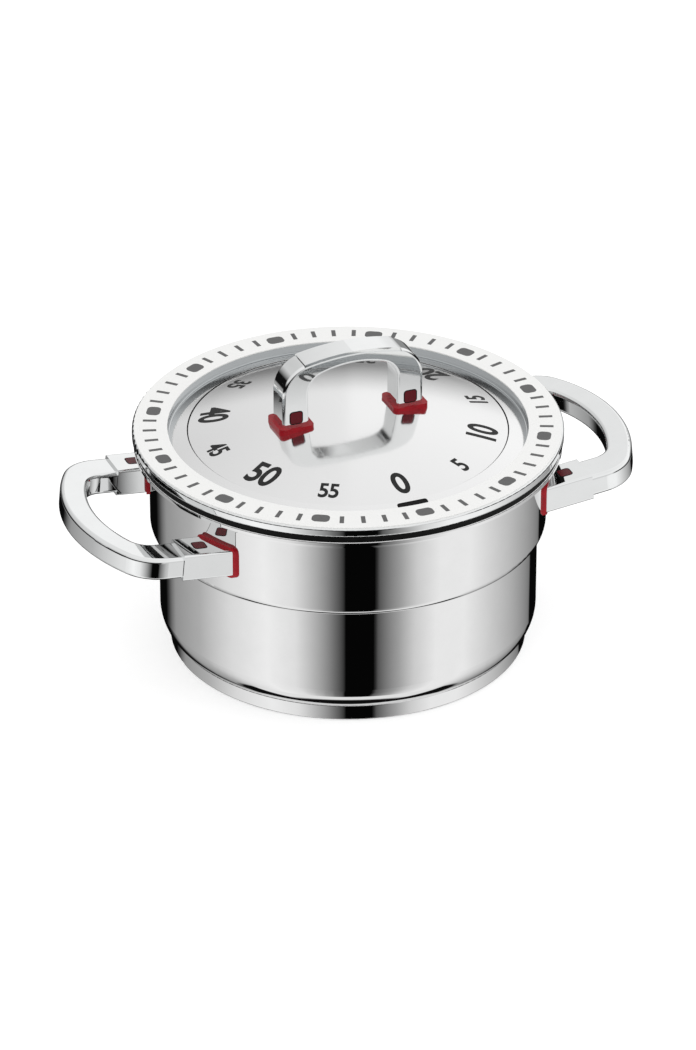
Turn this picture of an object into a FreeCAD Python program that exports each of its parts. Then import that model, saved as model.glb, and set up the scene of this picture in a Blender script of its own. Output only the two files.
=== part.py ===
import FreeCAD, Part
import math
import os
import re

import Sketcher
from FreeCAD import Placement, Rotation, Vector

# Wind-up kitchen timer in the shape of a cooking pot with two loop handles and a lid.
# Frame: +Z up, origin at the centre of the base on the table, the zero mark towards -Y,
# the loop handles on +X and -X. All sizes in millimetres.

DIMENSIONS = {
    # pot
    "pad_inner_radius": 24.5,
    "pad_outer_radius": 30.0,
    "pad_height": 1.4,
    "base_radius": 33.9,
    "base_bottom": 0.15,
    "base_top": 3.3,
    "base_edge_radius": 0.3,
    "cup_radius": 35.8,
    "cup_seat_radius": 33.6,
    "cup_foot_radius": 34.1,
    "cup_foot_height": 3.4,
    "cup_foot_curve": 6.04,
    "cup_wall_bottom": 7.6,
    "cup_floor_radius": 32.9,
    "sheet": 0.7,
    "cup_top": 29.0,
    "band_radius": 37.4,
    "band_bottom": 24.1,
    "band_roll": 1.6,
    "flare_bottom": 38.6,
    "flare_radius": 2.0,
    "rim_radius": 40.2,
    "rim_bottom": 40.6,
    "rim_top": 41.4,
    # bezel
    "seal_outer_radius": 39.9,
    "seal_inner_radius": 36.8,
    "seal_top": 42.6,
    "bezel_radius": 40.5,
    "bezel_inner_radius": 34.4,
    "bezel_top": 44.3,
    "bezel_edge_radius": 0.4,
    "face_inner_radius": 33.85,
    "face_outer_radius": 40.1,
    "face_top": 44.5,
    "wall_foot_curve": 0.35,
    "flange_rise": 0.15,
    "flange_inner_radius": 30.2,
    "liner_edge": 42.4,
    "liner_bottom_radius": 32.3,
    "liner_bottom": 39.8,
    # dial
    "dome_radius": 30.02,
    "dome_crown": 47.3,
    "dome_sphere": 120.0,
    "dome_sheet": 0.8,
    "dome_skirt": 41.6,
    "dome_lip": 0.12,
    "hub_radius": 24.0,
    "hub_rim_bottom": 42.8,
    "hub_flat_radius": 14.0,
    "hub_flat_bottom": 43.6,
    "boss_radius": 5.0,
    "boss_bottom": 33.5,
    "socket_top": 43.4,
    # lid handle
    "arch_outer": 14.1,
    "arch_inner": 8.9,
    "arch_depth": 5.4,
    "arch_foot": 47.6,
    "arch_shoulder": 53.6,
    "arch_corner": 6.3,
    "arch_top": 60.7,
    "arch_inner_corner": 4.0,
    "arch_inner_top": 58.4,
    "arch_edge_radius": 0.6,
    "cap_half_length": 9.6,
    "cap_depth": 5.0,
    "cap_sheet": 0.5,
    "cap_proud": 0.15,
    "cap_gap": 0.1,
    "seal_lip": 0.5,
    "gasket_corner": 1.2,
    "lid_seal_lip": 0.85,
    "lid_gasket_corner": 0.9,
    "lid_gasket_depth": 2.0,
    "inlay_size": 2.3,
    "inlay_corner": 0.45,
    "inlay_sheet": 0.6,
    "inlay_proud": 0.05,
    "inlay_height": 49.3,
    # loop handles
    "grip_tilt": 5.6,
    "grip_pivot": 36.7,
    "grip_top": 35.3,
    "grip_height": 4.3,
    "grip_end": 55.4,
    "grip_side": 21.0,
    "grip_corner_start": 43.8,
    "grip_corner": 8.0,
    "gap_end": 50.45,
    "gap_side": 14.2,
    "gap_corner_start": 44.2,
    "gap_corner": 4.0,
    "grip_edge_radius": 0.8,
    "ferrule_end": 40.8,
    "ferrule_width": 7.2,
    "ferrule_height": 5.3,
    "ferrule_centre": 17.6,
    "ferrule_edge_radius": 0.5,
    "gasket_radius": 38.0,
    "foot_inner_end": 29.0,
    "screw_head_face": 30.4,
    "handle_screw_end": 46.0,
    "leg_screw_top": 53.0,
    "leg_screw_bottom": 40.0,
    # movement
    "plate_radius": 30.5,
    "plate_sheet": 1.2,
    "lower_plate": 14.0,
    "upper_plate": 30.0,
    "pillar_radius": 2.0,
    "pillar_circle": 27.5,
    "post_radius": 3.0,
    "post_circle": 27.0,
    "screw_radius": 1.1,
    "screw_head_radius": 2.1,
    "screw_head_height": 1.3,
    "thread_depth": 4.0,
    "arbor_radius": 2.0,
    "boss_spring_radius": 3.0,
    "pivot_radius": 0.7,
    "running_gap": 0.06,
    "bell_radius": 17.0,
    "bell_bottom": 6.0,
    "bell_top": 12.6,
    "bell_sheet": 0.9,
    "bell_curve": 2.4,
    "bell_inner_curve": 2.0,
    "bell_screw_reach": 2.2,
    "post_flange": 2.0,
    "post_flange_sheet": 0.6,
    "spring_inner_radius": 3.4,
    "spring_outer_radius": 10.4,
    "spring_turns": 6.0,
    "spring_strip": 0.45,
    "spring_bottom": 16.2,
    "spring_width": 4.0,
    "stud_radius": 0.8,
    "wheel_sheet": 1.0,
    "stage_circle": 18.9,
    "arbor_foot_radius": 1.5,
    "arbor_end_gap": 0.1,
    "arbor_shoulder": 0.6,
    "spring_clearance": 1.2,
    "great_wheel_bottom": 22.0,
    "great_window": 3.4,
    "great_window_circle": 9.6,
    "clutch_spring_radius": 4.4,
    "clutch_spring_bottom": 23.0,
    "clutch_collar_radius": 3.6,
    "clutch_collar_bottom": 23.5,
    "clutch_collar_top": 24.7,
    "cam_radius": 7.0,
    "cam_bottom": 28.0,
    "cam_notch_radius": 1.6,
    "cam_notch_offset": 0.6,
    "second_pinion_bottom": 21.0,
    "second_pinion_top": 24.0,
    "second_seat_bottom": 24.0,
    "second_seat_top": 27.0,
    "second_wheel_bottom": 25.2,
    "second_window": 2.0,
    "second_window_circle": 6.0,
    "third_pinion_bottom": 24.6,
    "third_pinion_top": 27.0,
    "third_seat_bottom": 19.0,
    "third_seat_top": 24.6,
    "third_wheel_bottom": 20.2,
    "third_window": 1.5,
    "third_window_circle": 4.2,
    "escape_pinion_bottom": 19.4,
    "escape_pinion_top": 21.8,
    "escape_seat_bottom": 21.8,
    "escape_seat_top": 28.2,
    "escape_wheel_bottom": 26.6,
    "escape_radius": 5.0,
    "escape_tooth": 1.2,
    "anchor_distance": 6.6,
    "anchor_width": 0.8,
    "anchor_bottom": 27.8,
    "anchor_top": 28.3,
    "anchor_boss": 1.4,
    "pallet_radius": 0.25,
    "pallet_bottom": 26.5,
    "pallet_top": 28.1,
    "pallet_gap": 0.42,
    "balance_half_length": 5.6,
    "balance_width": 1.2,
    "balance_boss": 1.6,
    "balance_bottom": 28.4,
    "balance_top": 29.0,
    "weight_radius": 1.0,
    "weight_top": 29.4,
    "hammer_circle": 23.0,
    "hammer_arbor_bottom": 8.6,
    "hammer_width": 1.6,
    "hammer_boss": 1.7,
    "hammer_bottom": 9.2,
    "hammer_top": 10.2,
    "tail_width": 1.4,
    "tail_gap": 0.5,
    "tail_bottom": 28.1,
    "tail_top": 28.9,
    "head_circle": 18.7,
    "head_radius": 1.4,
    "head_top": 12.2,
    "striker_spring_length": 10.0,
    "striker_spring_strip": 0.2,
    "striker_spring_back": 4.0,
    "striker_spring_offset": 2.0,
    "striker_pin_radius": 0.6,
    "striker_pin_offset": 0.5,
}


def bend(name, along, across, corner, apex):
    """Sizes of a wide arc through an apex on the middle line that is tangent to a corner arc.

    The corner's centre is at (along, across): along the middle line and off to its side.
    """
    drop = apex - along
    crown = (across ** 2 + drop ** 2 - corner ** 2) / (2 * (drop - corner))
    reach = crown / (crown - corner)
    return {
        name + "_crown": round(crown, 4),
        name + "_bend_along": round(apex - crown + (along - apex + crown) * reach, 4),
        name + "_bend_across": round(across * reach, 4),
    }


def height_on(crown, apex, across):
    """Height of a circle of radius crown at a distance from its apex's middle line."""
    return round(apex - crown + math.sqrt(crown ** 2 - across ** 2), 4)


size = DIMENSIONS
size.update(bend(
    "arch", size["arch_shoulder"], size["arch_outer"] - size["arch_corner"],
    size["arch_corner"], size["arch_top"],
))
size.update(bend(
    "arch_inner", size["arch_shoulder"], size["arch_inner"] - size["arch_inner_corner"],
    size["arch_inner_corner"], size["arch_inner_top"],
))
size.update(bend(
    "grip", size["grip_corner_start"], size["grip_side"] - size["grip_corner"],
    size["grip_corner"], size["grip_end"],
))
size.update(bend(
    "gap", size["gap_corner_start"], size["gap_side"] - size["gap_corner"],
    size["gap_corner"], size["gap_end"],
))
size["cap_crown"] = size["arch_crown"] - size["cap_sheet"]
size["cap_floor"] = size["arch_top"] - size["cap_sheet"]
size["cap_floor_end"] = height_on(size["cap_crown"], size["cap_floor"], size["cap_half_length"])
size["recess_half_length"] = size["cap_half_length"] + size["cap_gap"]
size["recess_end"] = height_on(
    size["cap_crown"], size["cap_floor"], size["recess_half_length"]
)
size["cap_end_height"] = round(size["arch_shoulder"] + math.sqrt(
    size["arch_corner"] ** 2
    - (size["cap_half_length"] - size["arch_outer"] + size["arch_corner"]) ** 2
), 4)
size["dome_edge"] = height_on(
    size["dome_sphere"], size["dome_crown"], size["dome_radius"] - size["dome_lip"]
)
flange_crown = size["dome_crown"] + size["flange_rise"]
size["flange_inner_height"] = height_on(
    size["dome_sphere"], flange_crown, size["flange_inner_radius"]
)
size["flange_outer_height"] = height_on(
    size["dome_sphere"], flange_crown, size["face_inner_radius"] - size["wall_foot_curve"]
)
inner_sphere = size["dome_sphere"] - size["dome_sheet"]
inner_crown = size["dome_crown"] - size["dome_sheet"]
size["dome_inner_edge"] = height_on(
    inner_sphere, inner_crown, size["dome_radius"] - size["dome_sheet"]
)
size["hub_edge"] = height_on(inner_sphere, inner_crown, size["hub_radius"])

TERM = re.compile(r"([+-]?)([a-z_0-9.]+)(?:([*/])([0-9.]+))?")
NAME = re.compile(r"[a-z][a-z_0-9]*")

doc = FreeCAD.newDocument("kitchen_timer")
dims = doc.addObject("Spreadsheet::Sheet", "dims")
for row, (alias, number) in enumerate(DIMENSIONS.items(), start=1):
    dims.set(f"A{row}", alias)
    dims.set(f"B{row}", str(number))
    dims.setAlias(f"B{row}", alias)
doc.recompute()

sub_parts = []


# ---------------------------------------------------------------- helpers

def amount(text):
    """The value of a sum of named dimensions, such as 'cup_radius - sheet/2'."""
    total = 0.0
    for sign, name, operator, factor in TERM.findall(text.replace(" ", "")):
        value = DIMENSIONS[name] if name in DIMENSIONS else float(name)
        if operator == "*":
            value *= float(factor)
        if operator == "/":
            value /= float(factor)
        total += -value if sign == "-" else value
    return total


def bind(item, prop, text):
    """Bind a property or a sketch constraint to a sum of cells of the sheet."""
    item.setExpression(prop, NAME.sub(r"dims.\g<0>", text))


def keep(item, label, placement=None):
    """List an object as a sub-part, with the name of its file and its place."""
    item.Label = label
    if placement is not None:
        item.Placement = placement
    sub_parts.append(item)
    return item


def new_body(name):
    return doc.addObject("PartDesign::Body", name + "_body")


def plane_of(body, role):
    return next(o for o in body.Origin.OriginFeatures if o.Role == role)


def arc_between(start, end, radius, side):
    """Arc of a radius from start to end; side +1 bulges to the left of the way, -1 right."""
    chord = end - start
    half = chord.Length / 2
    left = Vector(-chord.y, chord.x, 0).normalize()
    centre = (start + end) / 2 - left * side * math.sqrt(radius ** 2 - half ** 2)
    first, last = (end, start) if side > 0 else (start, end)
    angles = [math.atan2(p.y - centre.y, p.x - centre.x) for p in (first, last)]
    circle = Part.Circle(centre, Vector(0, 0, 1), radius)
    return Part.ArcOfCircle(circle, *angles)


def constrain(sketch, kind, *where):
    """Add one sized constraint whose last entry is the text of its size."""
    text = where[-1]
    index = sketch.addConstraint(Sketcher.Constraint(kind, *where[:-1], amount(text)))
    bind(sketch, f"Constraints[{index}]", text)


def draw(sketch, outline):
    """Closed outline of corners (x, y); an arc after a corner adds its (radius, side)."""
    corners = [Vector(amount(c[0]), amount(c[1]), 0) for c in outline]
    ends = []
    for i, corner in enumerate(outline):
        start, end = corners[i], corners[(i + 1) % len(corners)]
        if len(corner) == 4:
            radius, side = corner[2:]
            item = sketch.addGeometry(arc_between(start, end, amount(radius), side), False)
            constrain(sketch, "Radius", item, radius)
            ends.append((item, 2, 1) if side > 0 else (item, 1, 2))
        else:
            item = sketch.addGeometry(Part.LineSegment(start, end), False)
            ends.append((item, 1, 2))
    for i, (item, first, last) in enumerate(ends):
        following = ends[(i + 1) % len(ends)]
        sketch.addConstraint(
            Sketcher.Constraint("Coincident", item, last, following[0], following[1])
        )
        constrain(sketch, "DistanceX", item, first, outline[i][0])
        constrain(sketch, "DistanceY", item, first, outline[i][1])


def new_sketch(body, role, name):
    sketch = body.newObject("Sketcher::SketchObject", name)
    sketch.AttachmentSupport = [(plane_of(body, role), "")]
    sketch.MapMode = "FlatFace"
    return sketch


def turned(name, outline):
    """A body revolved about Z from an outline of (radius, height) corners."""
    body = new_body(name)
    sketch = new_sketch(body, "YZ_Plane", name + "_profile")
    draw(sketch, outline)
    turn = body.newObject("PartDesign::Revolution", name + "_turn")
    turn.Profile = sketch
    turn.ReferenceAxis = (sketch, ["V_Axis"])
    turn.Angle = 360
    sketch.Visibility = False
    doc.recompute()
    return body


def padded(name, role, outline, depth, symmetric=False):
    """A body padded from an outline on one of its origin planes."""
    body = new_body(name)
    sketch = new_sketch(body, role, name + "_profile")
    draw(sketch, outline)
    pad = body.newObject("PartDesign::Pad", name + "_pad")
    pad.Profile = sketch
    if symmetric:
        pad.SideType = "Symmetric"
    bind(pad, "Length", depth)
    doc.recompute()
    return body


def edges_where(shape, test):
    """Names of the edges of a shape that a test of the edge holds for."""
    return [f"Edge{i}" for i, edge in enumerate(shape.Edges, start=1) if test(edge)]


def rounded(body, name, test, radius):
    """Fillet the edges of a body that a test holds for."""
    base = body.Tip
    fillet = body.newObject("PartDesign::Fillet", name)
    fillet.Base = (base, edges_where(base.Shape, test))
    bind(fillet, "Radius", radius)
    doc.recompute()
    return body


def ring_at(radius, height):
    """A test for the round edges at a radius and a height."""
    r, z = amount(radius), amount(height)

    def test(edge):
        if edge.Degenerated:
            return False
        points = edge.discretize(5)
        return all(abs(math.hypot(p.x, p.y) - r) < 0.01 and abs(p.z - z) < 0.01 for p in points)

    return test


def box(name, length, width, height):
    item = doc.addObject("Part::Box", name)
    bind(item, "Length", length)
    bind(item, "Width", width)
    bind(item, "Height", height)
    return item


def rod(name, radius, height, x=0.0, y=0.0, z=0.0):
    """A cylinder along Z whose foot stands at (x, y, z)."""
    item = doc.addObject("Part::Cylinder", name)
    bind(item, "Radius", radius)
    bind(item, "Height", height)
    item.Placement.Base = Vector(x, y, z)
    return item


def post(name, radius, centre, bottom, top):
    """A cylinder along Z between two heights, over or under a centre."""
    return rod(name, radius, f"{top} - ({bottom})", centre.x, centre.y, amount(bottom))


def joined(kind, name, base, tool):
    item = doc.addObject(kind, name)
    item.Base = base
    item.Tool = tool
    return item


def cut(name, base, tool):
    return joined("Part::Cut", name, base, tool)


def common(name, base, tool):
    return joined("Part::Common", name, base, tool)


def union(name, items):
    item = doc.addObject("Part::MultiFuse", name)
    item.Shapes = items
    return item


def group(name, items):
    """Identical loose pieces that share one node, each a solid of its own."""
    item = doc.addObject("Part::Compound", name)
    item.Links = items
    return item


def edge_filleted(name, base, test, radius):
    """A Part fillet on the edges of a primitive that a test holds for."""
    doc.recompute()
    item = doc.addObject("Part::Fillet", name)
    item.Base = base
    curve = amount(radius)
    edges = [i for i, edge in enumerate(base.Shape.Edges, start=1) if test(edge)]
    item.Edges = [(i, curve, curve) for i in edges]
    return item


def polar(radius, degrees, height=0.0):
    turn = math.radians(degrees)
    return Vector(radius * math.cos(turn), radius * math.sin(turn), height)


# ---------------------------------------------------------------- pot

def drilled(body, name, bottom, top, count, angle, circle_radius, radius):
    """Drill a ring of equal holes through a turned body between two heights."""
    before = body.Shape.Volume
    sketch = new_sketch(body, "XY_Plane", name + "_hole")
    centre = polar(amount(circle_radius), angle)
    item = sketch.addGeometry(Part.Circle(centre, Vector(0, 0, 1), amount(radius)), False)
    sketch.addConstraint(Sketcher.Constraint("DistanceX", item, 3, centre.x))
    sketch.addConstraint(Sketcher.Constraint("DistanceY", item, 3, centre.y))
    constrain(sketch, "Radius", item, radius)
    sketch.AttachmentOffset = Placement(Vector(0, 0, amount(bottom)), Rotation())
    pocket = body.newObject("PartDesign::Pocket", name + "_drill")
    pocket.Profile = sketch
    pocket.Reversed = True
    bind(pocket, "Length", f"{top} - {bottom}")
    doc.recompute()
    pattern = body.newObject("PartDesign::PolarPattern", name + "_holes")
    pattern.Originals = [pocket]
    pattern.Axis = (plane_of(body, "Z_Axis"), [""])
    pattern.Angle = 360
    pattern.Occurrences = count
    body.Tip = pattern
    doc.recompute()
    if before - body.Shape.Volume < 1.0:
        raise RuntimeError(name + ": the drill cut nothing")


POST_ANGLE = 30


def make_pot():
    base = turned("base_disc", [
        ("0", "base_bottom"),
        ("pad_inner_radius", "base_bottom"),
        ("pad_inner_radius", "pad_height"),
        ("pad_outer_radius", "pad_height"),
        ("pad_outer_radius", "base_bottom"),
        ("base_radius", "base_bottom"),
        ("base_radius", "base_top"),
        ("0", "base_top"),
    ])
    rounded(base, "base_lower_edge", ring_at("base_radius", "base_bottom"), "base_edge_radius")
    rounded(base, "base_upper_edge", ring_at("base_radius", "base_top"), "base_edge_radius")
    ring = (3, POST_ANGLE, "post_circle")
    drilled(base, "screw_way", "pad_height", "base_top", *ring, "screw_radius")
    head_top = "pad_height + screw_head_height"
    drilled(base, "screw_head_seat", "pad_height", head_top, *ring, "screw_head_radius")
    keep(base, "base_disc")

    pad = turned("base_pad", [
        ("pad_inner_radius", "0"),
        ("pad_outer_radius", "0"),
        ("pad_outer_radius", "pad_height"),
        ("pad_inner_radius", "pad_height"),
    ])
    keep(pad, "base_pad")

    cup = turned("lower_cup", [
        ("0", "base_top"),
        ("cup_seat_radius", "base_top"),
        ("cup_foot_radius", "cup_foot_height", "cup_foot_curve", -1),
        ("cup_radius", "cup_wall_bottom"),
        ("cup_radius", "cup_top"),
        ("cup_radius - sheet", "cup_top"),
        ("cup_radius - sheet", "cup_wall_bottom"),
        ("cup_floor_radius", "base_top + sheet"),
        ("0", "base_top + sheet"),
    ])
    drilled(cup, "cup_way", "base_top", "base_top + sheet", *ring, "screw_radius")
    keep(cup, "lower_cup")

    band = turned("upper_band", [
        ("cup_radius", "band_bottom", "band_roll", -1),
        ("band_radius", "band_bottom + band_roll"),
        ("band_radius", "flare_bottom", "flare_radius", 1),
        ("band_radius + flare_radius", "rim_bottom"),
        ("rim_radius", "rim_bottom"),
        ("rim_radius", "rim_top"),
        ("band_radius - sheet", "rim_top"),
        ("band_radius - sheet", "band_bottom + sheet"),
        ("cup_radius", "band_bottom + sheet"),
    ])
    rim = ring_at("rim_radius", "rim_top")
    rounded(band, "rim_edge", rim, "sheet/3")
    keep(cut("upper_band", band, handle_screw_ways()), "upper_band")


def make_bezel():
    seal = turned("gap_seal", [
        ("seal_inner_radius", "rim_top"),
        ("seal_outer_radius", "rim_top"),
        ("seal_outer_radius", "seal_top"),
        ("seal_inner_radius", "seal_top"),
    ])
    keep(seal, "gap_seal")

    bezel = turned("bezel_ring", [
        ("bezel_inner_radius", "seal_top"),
        ("bezel_radius", "seal_top"),
        ("bezel_radius", "bezel_top"),
        ("bezel_inner_radius", "bezel_top"),
    ])
    rounded(bezel, "bezel_lip", ring_at("bezel_radius", "bezel_top"), "bezel_edge_radius")
    rounded(bezel, "bezel_heel", ring_at("bezel_radius", "seal_top"), "bezel_edge_radius")
    keep(bezel, "bezel_ring")

    face = turned("minute_face", [
        ("face_inner_radius", "bezel_top"),
        ("face_outer_radius", "bezel_top"),
        ("face_outer_radius", "face_top"),
        ("face_inner_radius", "face_top"),
    ])
    keep(face, "minute_face")

    # the chrome liner inside the ring: an upright wall, then a flange that carries on the dome
    wall_foot = "face_inner_radius - wall_foot_curve"
    liner = turned("index_flange", [
        ("bezel_inner_radius", "bezel_top"),
        ("face_inner_radius", "bezel_top"),
        ("face_inner_radius", "flange_outer_height + wall_foot_curve", "wall_foot_curve", 1),
        (wall_foot, "flange_outer_height", "dome_sphere", -1),
        ("flange_inner_radius", "flange_inner_height"),
        ("flange_inner_radius", "liner_edge"),
        ("liner_bottom_radius", "liner_bottom"),
        ("bezel_inner_radius", "liner_bottom"),
    ])
    keep(liner, "index_flange")


# ---------------------------------------------------------------- loop handles

SIDES = {"right": 0, "left": 180}
FEET = {"front": -1, "rear": 1}


def handle_place(side):
    """Places a loop handle drawn flat, its foot's top at z = 0: tilts it and turns it to a side."""
    tilt = Rotation(Vector(0, 1, 0), -amount("grip_tilt"))
    about = Placement(Vector(amount("grip_pivot"), 0, amount("grip_top")), tilt)
    back = Placement(Vector(-amount("grip_pivot"), 0, 0), Rotation())
    return Placement(Vector(), Rotation(Vector(0, 0, 1), SIDES[side])) * about * back


def handle_rod(name, side, foot, start, end, radius):
    """A rod along a foot's middle line, drawn in the handle's own tilted frame."""
    item = doc.addObject("Part::Cylinder", name)
    bind(item, "Radius", radius)
    bind(item, "Height", f"{end} - ({start})")
    middle = FEET[foot] * amount("ferrule_centre")
    along = Rotation(Vector(0, 1, 0), 90)
    lie = Placement(Vector(amount(start), middle, -amount("ferrule_height/2")), along)
    item.Placement = handle_place(side) * lie
    return item


def shank_rod(name, side, foot):
    """The shank of a loop handle's screw, also used as the cutter of its way."""
    ends = "screw_head_face", "handle_screw_end"
    return handle_rod(name, side, foot, *ends, "screw_radius")


def handle_screw_ways():
    """The four ways through the band for the screws of the loop handles."""
    return group("handle_screw_ways", [
        shank_rod(f"way_{side}_{foot}", side, foot) for side in SIDES for foot in FEET
    ])


def handle_block(name, side, foot, width, height, top):
    """A bar of the foot's section along X in the handle's own tilted frame."""
    item = box(name, "ferrule_end - foot_inner_end", width, height)
    low = FEET[foot] * amount("ferrule_centre") - amount(width) / 2
    corner = Vector(amount("foot_inner_end"), low, top - amount(height))
    item.Placement = Placement(corner, Rotation())
    return item


def lengthwise(edge):
    first, last = edge.Vertexes[0].Point, edge.Vertexes[-1].Point
    return abs(last.x - first.x) > 5


def make_ferrule(side, foot):
    name = f"{side}_{foot}_ferrule"
    block = handle_block(name + "_block", side, foot, "ferrule_width", "ferrule_height", 0)
    soft = edge_filleted(name + "_soft", block, lengthwise, "ferrule_edge_radius")
    soft.Placement = handle_place(side)
    core = rod(name + "_core", "gasket_radius", "face_top")
    way = shank_rod(name + "_way", side, foot)
    seat = inlay_on_foot(name + "_seat", side, foot)
    keep(cut(name, soft, union(name + "_cutters", [core, way, seat])), name)


def inlay_on_foot(name, side, foot):
    """A small rounded square let into the top of a ferrule."""
    item = box(name + "_block", "inlay_size", "inlay_size", "inlay_sheet")
    half = amount("inlay_size/2")
    corner = Vector(
        amount("grip_pivot") - half,
        FEET[foot] * amount("ferrule_centre") - half,
        amount("inlay_proud - inlay_sheet"),
    )
    item.Placement = Placement(corner, Rotation())
    soft = edge_filleted(name, item, upright, "inlay_corner")
    soft.Placement = handle_place(side)
    return soft


def upright(edge):
    first, last = edge.Vertexes[0].Point, edge.Vertexes[-1].Point
    return abs(last.z - first.z) > 0.1


def make_foot_gasket(side, foot):
    name = f"{side}_{foot}_gasket"
    width, height = "ferrule_width + seal_lip*2", "ferrule_height + seal_lip*2"
    block = handle_block(name + "_block", side, foot, width, height, amount("seal_lip"))
    soft = edge_filleted(name + "_soft", block, lengthwise, "gasket_corner")
    soft.Placement = handle_place(side)
    outer = rod(name + "_outer", "gasket_radius", "face_top")
    inner = rod(name + "_inner", "band_radius", "face_top")
    skin = cut(name + "_skin", outer, inner)
    way = shank_rod(name + "_way", side, foot)
    keep(cut(name, common(name + "_frame", soft, skin), way), name)


def make_grip(side):
    name = f"{side}_handle"
    grip = padded(name, "XY_Plane", [
        ("ferrule_end", "grip_side"),
        ("grip_corner_start", "grip_side", "grip_corner", 1),
        ("grip_bend_along", "grip_bend_across", "grip_crown", 1),
        ("grip_bend_along", "-grip_bend_across", "grip_corner", 1),
        ("grip_corner_start", "-grip_side"),
        ("ferrule_end", "-grip_side"),
        ("ferrule_end", "-gap_side"),
        ("gap_corner_start", "-gap_side", "gap_corner", -1),
        ("gap_bend_along", "-gap_bend_across", "gap_crown", -1),
        ("gap_bend_along", "gap_bend_across", "gap_corner", -1),
        ("gap_corner_start", "gap_side"),
        ("ferrule_end", "gap_side"),
    ], "grip_height")
    seam = amount("ferrule_end") + 0.01

    def outline_edge(edge):
        ends = [v.Point for v in edge.Vertexes]
        flat = abs(ends[0].z - ends[-1].z) < 0.01
        return flat and max(p.x for p in ends) > seam

    rounded(grip, name + "_edges", outline_edge, "grip_edge_radius")
    drop = amount("ferrule_height/2 + grip_height/2")
    grip.Placement = handle_place(side) * Placement(Vector(0, 0, -drop), Rotation())
    ways = group(name + "_ways", [shank_rod(f"{name}_{foot}_way", side, foot) for foot in FEET])
    keep(cut(name, grip, ways), name)


def make_handle_screws():
    screws = []
    for side in SIDES:
        for foot in FEET:
            name = f"screw_{side}_{foot}"
            ends = "screw_head_face - screw_head_height", "screw_head_face"
            shank = shank_rod(name + "_shank", side, foot)
            head = handle_rod(name + "_head", side, foot, *ends, "screw_head_radius")
            screws.append(union(name, [shank, head]))
    keep(group("handle_screws", screws), "handle_screws")


def make_side_handles():
    for side in SIDES:
        make_grip(side)
        for foot in FEET:
            make_ferrule(side, foot)
            make_foot_gasket(side, foot)
            keep(inlay_on_foot(f"{side}_{foot}_inlay", side, foot), f"{side}_{foot}_inlay")
    make_handle_screws()


# ---------------------------------------------------------------- dial and lid handle

def leg_rods(name, radius, bottom, top):
    """Upright rods through the middle of both legs of the lid handle."""
    middle = amount("arch_outer/2 + arch_inner/2")
    centres = {"right": Vector(middle, 0, 0), "left": Vector(-middle, 0, 0)}
    return [post(f"{name}_{leg}", radius, at, bottom, top) for leg, at in centres.items()]


def leg_ways(name):
    """Cutters for the ways of the lid handle's two screws."""
    return leg_rods(name, "screw_radius", "leg_screw_bottom", "leg_screw_top")


def make_dial():
    dome = turned("dial_dome", [
        ("0", "dome_crown", "dome_sphere", 1),
        ("dome_radius - dome_lip", "dome_edge", "dome_lip*1.1", 1),
        ("dome_radius", "dome_edge - dome_lip*1.2"),
        ("dome_radius", "dome_skirt"),
        ("dome_radius - dome_sheet", "dome_skirt"),
        ("dome_radius - dome_sheet", "dome_inner_edge", "dome_sphere - dome_sheet", -1),
        ("0", "dome_crown - dome_sheet"),
    ])
    ways = group("dome_ways", leg_ways("dome_way"))
    keep(cut("dial_dome", dome, ways), "dial_dome")

    hub = turned("dial_hub", [
        ("0", "dome_crown - dome_sheet", "dome_sphere - dome_sheet", 1),
        ("hub_radius", "hub_edge"),
        ("hub_radius", "hub_rim_bottom"),
        ("hub_flat_radius", "hub_flat_bottom"),
        ("boss_radius", "hub_flat_bottom"),
        ("boss_radius", "boss_bottom"),
        ("arbor_radius", "boss_bottom"),
        ("arbor_radius", "socket_top"),
        ("0", "socket_top"),
    ])
    ways = group("hub_ways", leg_ways("hub_way"))
    keep(cut("dial_hub", hub, ways), "dial_hub")


def lid_inlays(name):
    """Rounded squares let into the front and back faces of both legs."""
    middle = amount("arch_outer/2 + arch_inner/2")
    half = amount("inlay_size/2")
    proud = amount("arch_depth/2 + inlay_proud")
    squares = []
    for sign in (1, -1):
        for front in (True, False):
            item = box(f"{name}_block_{len(squares)}", "inlay_size", "inlay_sheet", "inlay_size")
            y = -proud if front else proud - amount("inlay_sheet")
            corner = Vector(sign * middle - half, y, amount("inlay_height") - half)
            item.Placement = Placement(corner, Rotation())
            soft = edge_filleted(f"{name}_{len(squares)}", item, crosswise, "inlay_corner")
            squares.append(soft)
    return group(name, squares)


def crosswise(edge):
    first, last = edge.Vertexes[0].Point, edge.Vertexes[-1].Point
    return abs(last.y - first.y) > 0.1


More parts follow.
